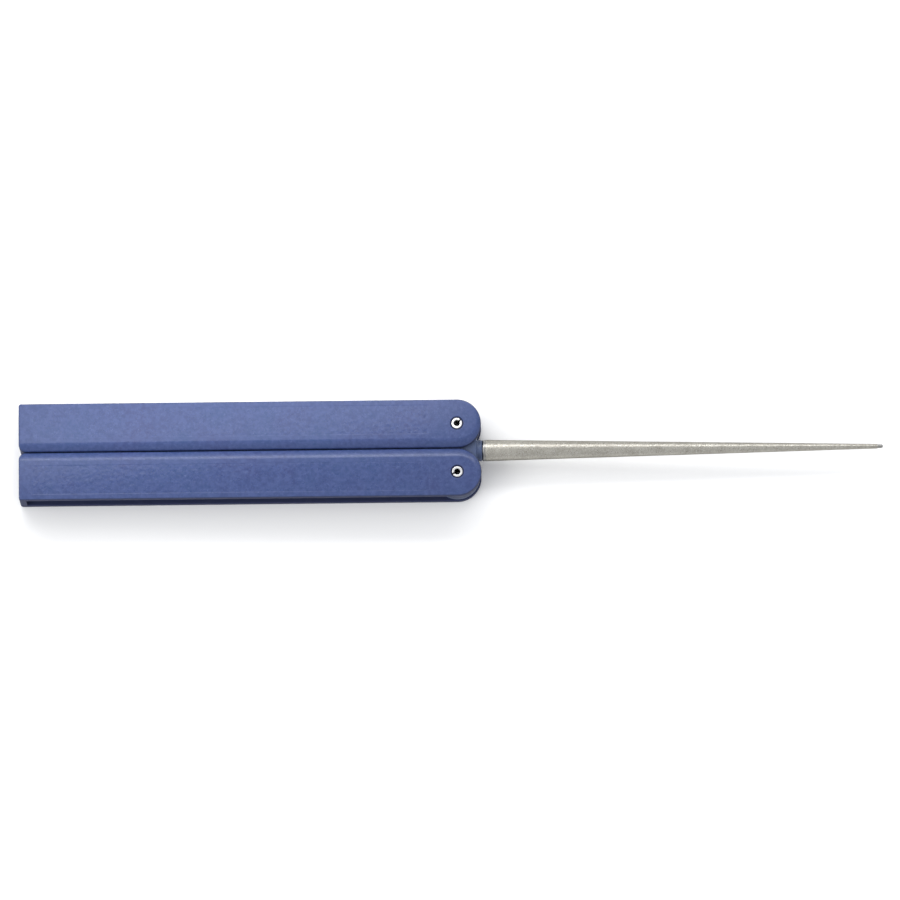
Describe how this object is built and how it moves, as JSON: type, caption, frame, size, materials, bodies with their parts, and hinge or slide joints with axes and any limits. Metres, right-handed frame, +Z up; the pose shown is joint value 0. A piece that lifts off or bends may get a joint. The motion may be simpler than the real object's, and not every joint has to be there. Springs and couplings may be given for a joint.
{
  "type": "folding sharpening rod",
  "caption": "Tapered diamond-coated sharpening rod on a tang block between two channel handles that swing round on spring pins to enclose it.",
  "frame": {"origin": "on the resting plane, under the middle of the open object", "axes": "+X along the rod towards its tip, +Y across the handles towards the left handle, +Z up and along the pivot pins"},
  "size_m": [0.2494, 0.028, 0.0127],
  "materials": {
    "handle_plastic": "glass-filled moulding, fine pebble on the grip panels",
    "tang_plastic": "smooth satin moulding",
    "rod_steel": "ground",
    "diamond_grit": "nickel plate with fine diamond grit",
    "pin_steel": "bright rolled spring steel"
  },
  "bodies": {
    "rod_unit": {"tang_block": "tang_plastic", "sharpening_rod": "rod_steel", "abrasive_coating": "diamond_grit", "left_pivot_pin": "pin_steel", "right_pivot_pin": "pin_steel"},
    "left_handle": {"left_handle": "handle_plastic"},
    "right_handle": {"right_handle": "handle_plastic"}
  },
  "joints": [
    {"name": "left_handle_swing", "type": "hinge", "parent": "rod_unit", "child": "left_handle", "pos_m": [0.0017, 0.00707, 0.00635], "axis": [0, 0, -1], "range_deg": [0, 180]},
    {"name": "right_handle_swing", "type": "hinge", "parent": "rod_unit", "child": "right_handle", "pos_m": [0.0017, -0.00707, 0.00635], "axis": [0, 0, 1], "range_deg": [0, 180]}
  ]
}
